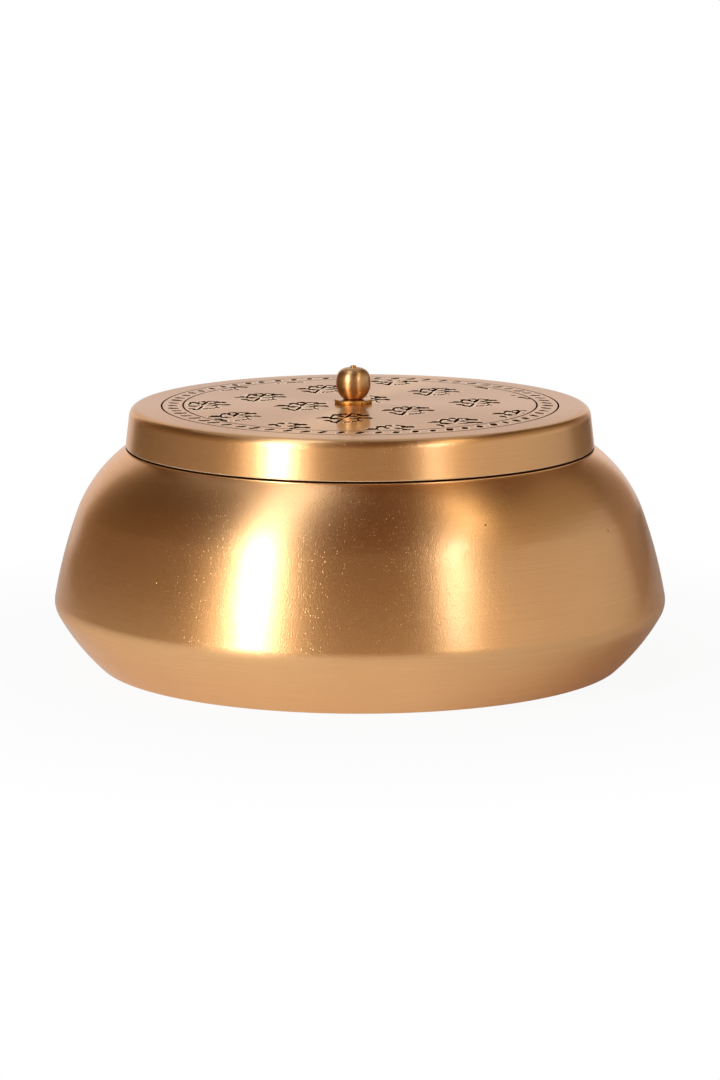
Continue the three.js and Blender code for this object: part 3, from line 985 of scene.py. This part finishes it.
def makeFloor(shape):
    # The camera and reflections see a share of the paper by a light of its own. The rest is
    # matt paper, which takes the lamps and the box's shadow
    material, tree = emptyMaterial("white_paper_on_floor")
    place = addNode(tree, "TexCoord").outputs["Object"]
    away = addNode(tree, "VectorMath", [place], operation="LENGTH").outputs["Value"]
    heading = addNode(tree, "VectorMath", [place], operation="NORMALIZE")
    paper = addNode(tree, "MapRange", [away, *shape["paperEdge"]])
    colour = addNode(tree, "MixRGB", [paper, linear(shape["floor"]), linear(shape["paper"])])
    path = addNode(tree, "LightPath")
    seen = addNode(tree, "MapRange", [away, *shape["seenEdge"], shape["paperSeen"], 1])
    byCamera = addNode(tree, "Math", [path.outputs["Is Camera Ray"], seen], operation="MULTIPLY")

    sideways = addNode(tree, "VectorMath", [heading, spot(shape["shadeTurn"], 0, 1)],
                       operation="DOT_PRODUCT").outputs["Value"]
    bright, dark = shape["paperMirrored"], shape["paperMirrored"] * (1 - shape["shade"])
    shaded = addNode(tree, "MapRange", [sideways, *shape["shadeEdge"], bright, dark])
    fromPool = addNode(tree, "VectorMath", [place, spot(*shape["poolMiddle"])],
                       operation="DISTANCE").outputs["Value"]
    pool = addNode(tree, "MapRange", [fromPool, *shape["poolEdge"], *shape["poolLight"]])
    lit = addNode(tree, "Math", [paper, pool], operation="MULTIPLY")
    ownPaper = addNode(tree, "Math", [lit, shaded], operation="MULTIPLY")
    backward = addNode(tree, "VectorMath", [heading, spot(shape["screenTurn"], 0, 1)],
                       operation="DOT_PRODUCT").outputs["Value"]
    sweepSide = addNode(tree, "MapRange", [backward, *shape["sweepEdge"], 0, shape["sweep"]])
    sweepStart = addNode(tree, "MapRange", [away, *shape["sweepStart"]])
    sweep = addNode(tree, "Math", [sweepSide, sweepStart], operation="MULTIPLY")
    mirrored = addNode(tree, "Math", [ownPaper, sweep], operation="MAXIMUM")
    mirror = addNode(tree, "Math", [path.outputs["Is Glossy Ray"],
                                    path.outputs["Is Transmission Ray"]], operation="MAXIMUM")
    byMirror = addNode(tree, "Math", [mirror, mirrored], operation="MULTIPLY")
    own = addNode(tree, "Math", [byCamera, byMirror], operation="MAXIMUM")
    matt = addNode(tree, "BsdfDiffuse", {"Color": colour})
    glow = addNode(tree, "Emission", {"Color": (1, 1, 1, 1), "Strength": 1})
    mixed = addNode(tree, "MixShader", [own, matt, glow])
    addNode(tree, "OutputMaterial", {"Surface": mixed})
    half = shape["floorSize"] / 2
    mesh = bpy.data.meshes.new("floor")
    mesh.from_pydata([(-half, -half, 0), (half, -half, 0), (half, half, 0), (-half, half, 0)],
                     [], [(0, 1, 2, 3)])
    mesh.materials.append(material)
    floor = bpy.data.objects.new("floor", mesh)
    scene.collection.objects.link(floor)


def makeRoom(shape):
    world = bpy.data.worlds.new("studio")
    scene.world = world
    world.use_nodes = True
    tree = world.node_tree
    tree.nodes.clear()
    direction = addNode(tree, "TexCoord").outputs["Generated"]
    parts = addNode(tree, "SeparateXYZ", [direction])
    up, back = parts.outputs["Z"], parts.outputs["Y"]
    rising = addNode(tree, "MapRange", [up, *shape["roomRise"], shape["roomLow"],
                                        shape["roomHigh"]])
    fading = addNode(tree, "MapRange", [back, *shape["roomDepth"], 1, shape["roomBack"]])
    low = addNode(tree, "MapRange", [up, shape["horizonTop"], 0, 0, shape["horizon"]])
    allLevels = addNode(tree, "Math", [rising, low], operation="ADD")
    level = addNode(tree, "Math", [allLevels, fading], operation="MULTIPLY")
    screenMiddle = spot(shape["screenTurn"], shape["screenRise"], 1)
    behind = addNode(tree, "VectorMath", [direction, screenMiddle],
                     operation="DOT_PRODUCT").outputs["Value"]
    screen = addNode(tree, "MapRange", [behind, *shape["screenEdge"]],
                     interpolation_type="SMOOTHSTEP")
    path = addNode(tree, "LightPath")
    white = addNode(tree, "Math", [path.outputs["Is Camera Ray"], screen], operation="MAXIMUM")
    high = addNode(tree, "MapRange", [up, *shape["ceilingRise"]])
    colour = addNode(tree, "MixRGB", [high, linear(shape["room"]), linear(shape["ceiling"])])
    room = addNode(tree, "Background", {"Color": colour, "Strength": level})
    screenWhite = addNode(tree, "Background", {"Color": (1, 1, 1, 1), "Strength": shape["screen"]})
    mixed = addNode(tree, "MixShader", [white, room, screenWhite])
    addNode(tree, "OutputWorld", {"Surface": mixed})


def makeStudio(shape):
    makeFloor(shape)
    makeRoom(shape)
    for name, (start, end, width, radiance, light) in shape["lamps"].items():
        addLamp(name, spot(*start), spot(*end), width, radiance, Vector(shape["aim"]),
                shape[light])
    print("studio made")


makeStudio(studio)
